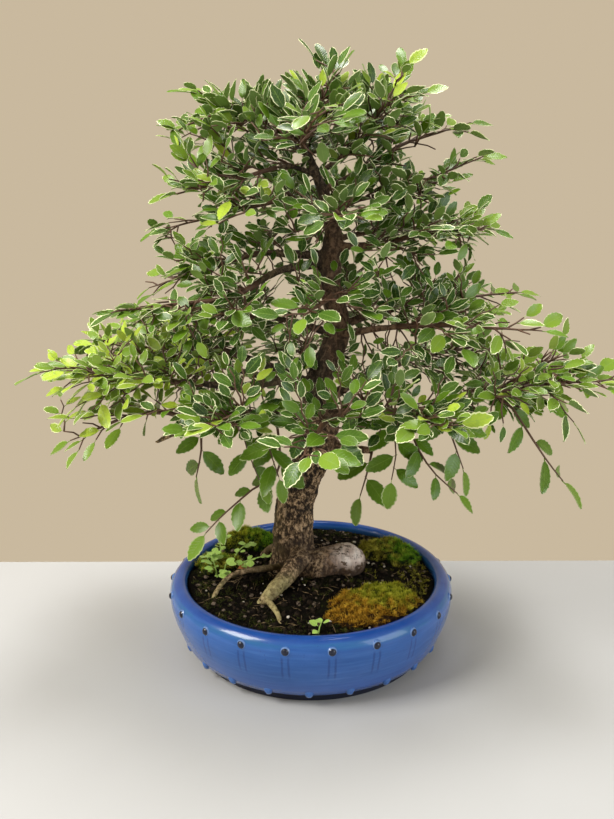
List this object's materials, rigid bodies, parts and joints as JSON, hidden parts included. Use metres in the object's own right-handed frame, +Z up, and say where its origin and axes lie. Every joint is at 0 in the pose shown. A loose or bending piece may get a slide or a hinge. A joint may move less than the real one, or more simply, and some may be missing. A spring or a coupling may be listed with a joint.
{
  "type": "potted bonsai tree",
  "caption": "Small elm bonsai with cream-edged leaves, a leaning trunk and spreading surface roots, planted with moss in a low round blue glazed pot with studs",
  "frame": {"origin": "centre of the whole plant's bounding box in plan, on the plane that the pot's foot ring stands on", "axes": "+Z up along the pot's axis; the pictured side faces -Y; +X is to the right as seen from that side"},
  "size_m": [0.5042, 0.3672, 0.5165],
  "materials": {
    "glaze": "glossy blue glaze, paler and greyer low on the body, thin over the studs",
    "bark": "rough fissured grey-brown bark with ochre flecks",
    "leaf": "satin green leaf with a cream margin",
    "seedling_leaf": "soft bright green leaf",
    "soil": "loose dark potting soil with pale grit",
    "moss_orange": "matt orange and yellow moss",
    "moss_green": "matt green moss",
    "screen_plastic": "matt black plastic mesh"
  },
  "bodies": {
    "root": {"drain_screen": "screen_plastic", "moss_front_right": "moss_orange", "moss_left": "moss_green", "moss_left_back": "moss_green", "moss_right_back": "moss_green", "pot": "glaze", "seedling": "seedling_leaf", "soil": "soil", "spray_back_low": "leaf", "spray_crown_back": "leaf", "spray_crown_front": "leaf", "spray_crown_left": "leaf", "spray_crown_right": "leaf", "spray_crown_top": "leaf", "spray_crown_upper_left": "leaf", "spray_crown_upper_right": "leaf", "spray_front_left": "leaf", "spray_front_low": "leaf", "spray_front_right": "leaf", "spray_high_back": "leaf", "spray_high_front": "leaf", "spray_high_left": "leaf", "spray_high_right": "leaf", "spray_high_right_back": "leaf", "spray_left_knob": "leaf", "spray_left_long": "leaf", "spray_low_left_back": "leaf", "spray_low_left_middle": "leaf", "spray_low_left_outer": "leaf", "spray_low_left_upper": "leaf", "spray_low_right": "leaf", "spray_low_right_back": "leaf", "spray_low_right_lower": "leaf", "spray_low_right_outer": "leaf", "spray_middle_back": "leaf", "spray_middle_front": "leaf", "spray_middle_left": "leaf", "spray_middle_left_back": "leaf", "spray_middle_right": "leaf", "spray_middle_right_front": "leaf", "spray_right_inner": "leaf", "spray_right_long": "leaf", "spray_right_middle": "leaf", "spray_right_stub": "leaf", "spray_top_left": "leaf", "spray_top_right": "leaf", "trunk": "bark"}
  },
  "joints": []
}
